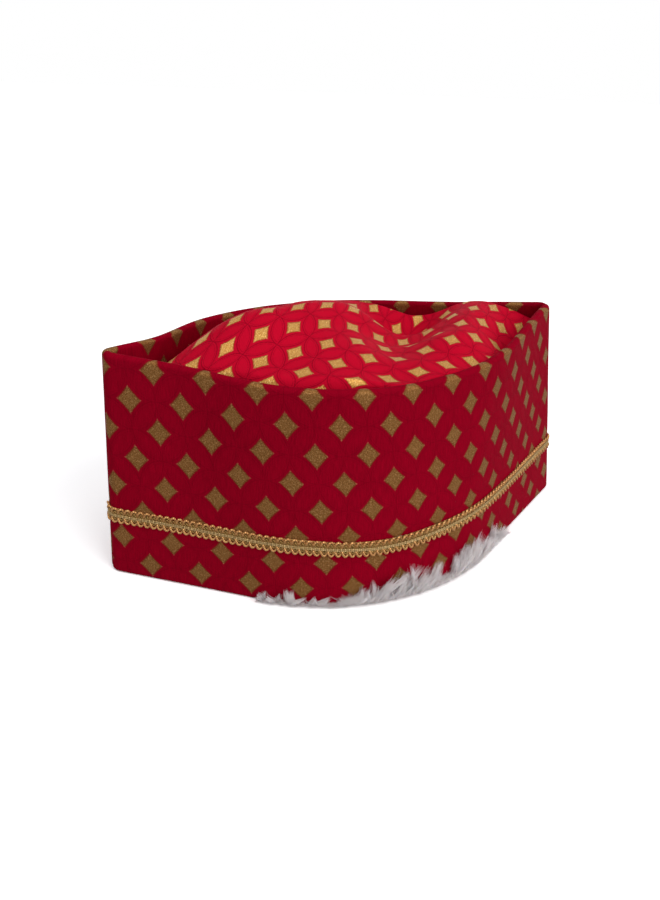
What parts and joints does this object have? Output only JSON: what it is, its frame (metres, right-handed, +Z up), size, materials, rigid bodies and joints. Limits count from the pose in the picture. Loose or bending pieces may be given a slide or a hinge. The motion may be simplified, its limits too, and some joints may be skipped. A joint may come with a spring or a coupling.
{
  "type": "boat cap",
  "caption": "Boat-shaped brocade cap: stiff upstanding band pointed front and back, soft domed crown set inside it, gold gimp braid round the band, plush band inside the hem.",
  "frame": {"origin": "Middle of the plane the hem rests on, under the centre of the cap's bounding box.", "axes": "+X runs along the cap towards its rear point, +Y towards the wearer's right, +Z up from the hem to the crown; the wearer faces -X."},
  "size_m": [0.2612, 0.1388, 0.1227],
  "materials": {
    "brocade": "red jacquard brocade with woven gold lozenges",
    "buckram": "stiff open-weave buckram",
    "cotton_lining": "plain-weave cotton",
    "interlining": "soft needled interlining",
    "satin_lining": "satin weave",
    "seam_tape": "twill tape",
    "plush_backing": "knitted backing",
    "plush_pile": "long soft pile",
    "gold_braid": "woven metallic gimp",
    "gold_cord": "smooth laid metallic cord",
    "gold_loops": "metallic picot loops",
    "thread": "polyester sewing thread"
  },
  "bodies": {
    "root": {"band_cover_left": "brocade", "band_cover_right": "brocade", "band_stiffener_left": "buckram", "band_stiffener_right": "buckram", "band_lining_left": "cotton_lining", "band_lining_right": "cotton_lining", "crown_shell": "brocade", "crown_interlining": "interlining", "crown_lining": "satin_lining", "crown_seam_tape": "seam_tape", "front_seam_tape": "seam_tape", "rear_seam_tape": "seam_tape", "plush_band_backing": "plush_backing", "plush_band_pile": "plush_pile", "braid_ground": "gold_braid", "braid_cord_upper": "gold_cord", "braid_cord_lower": "gold_cord", "braid_loops_upper": "gold_loops", "braid_loops_lower": "gold_loops", "braid_join_wrap": "gold_braid", "plush_band_stitches": "thread", "crown_seam_stitches": "thread"}
  },
  "joints": []
}
